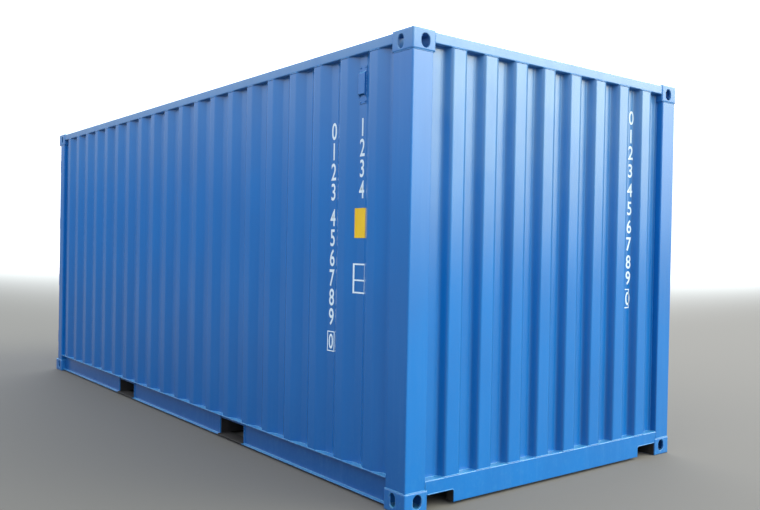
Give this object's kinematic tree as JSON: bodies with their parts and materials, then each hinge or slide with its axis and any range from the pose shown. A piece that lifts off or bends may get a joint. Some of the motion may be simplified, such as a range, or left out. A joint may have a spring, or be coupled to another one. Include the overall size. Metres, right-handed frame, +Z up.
{
  "type": "twenty-foot shipping container",
  "caption": "Steel dry freight container with fluted walls, corner fittings, fork pockets, a plywood floor and closed double doors with lock rods.",
  "frame": {"origin": "on the ground, in the middle of the four lower corner fittings", "axes": "+X along the length towards the blind front end, the doors are at -X; +Y across towards the left side; +Z up"},
  "size_m": [6.058, 2.438, 2.591],
  "materials": {
    "blue_paint": "semi-gloss blue paint over welded and pressed steel",
    "underside_coating": "thick matt black coating on the steel under the floor",
    "floor_plywood": "hard plywood with a clear worn coat",
    "seal_rubber": "black moulded rubber",
    "zinc_hardware": "dull galvanised forgings and tube"
  },
  "bodies": {
    "root": {"fitting_front_right_bottom": "blue_paint", "fitting_front_left_bottom": "blue_paint", "fitting_rear_right_bottom": "blue_paint", "fitting_rear_left_bottom": "blue_paint", "fitting_front_right_top": "blue_paint", "fitting_front_left_top": "blue_paint", "fitting_rear_right_top": "blue_paint", "fitting_rear_left_top": "blue_paint", "front_post_right": "blue_paint", "front_post_left": "blue_paint", "rear_post_right": "blue_paint", "rear_post_left": "blue_paint", "front_top_rail": "blue_paint", "front_sill": "blue_paint", "door_header": "blue_paint", "door_sill": "blue_paint", "top_rail_right": "blue_paint", "top_rail_left": "blue_paint", "bottom_rail_right": "blue_paint", "bottom_rail_left": "blue_paint", "side_wall_right": "blue_paint", "side_wall_left": "blue_paint", "front_wall": "blue_paint", "roof_panel": "blue_paint", "roof_end_plates": "blue_paint", "cross_members": "underside_coating", "fork_pockets": "underside_coating", "floor_boards": "floor_plywood", "floor_hat_rail": "underside_coating", "door_frame_right": "blue_paint", "door_frame_left": "blue_paint", "door_panel_right": "blue_paint", "door_panel_left": "blue_paint", "door_seal_right": "seal_rubber", "door_seal_left": "seal_rubber", "hinge_blades_right": "blue_paint", "hinge_blades_left": "blue_paint", "hinge_pins": "zinc_hardware", "lock_rods_right": "zinc_hardware", "lock_rods_left": "zinc_hardware", "rod_brackets": "zinc_hardware", "lock_handles": "zinc_hardware", "handle_catches": "zinc_hardware", "cam_keepers": "zinc_hardware", "ventilators": "blue_paint"}
  },
  "joints": []
}
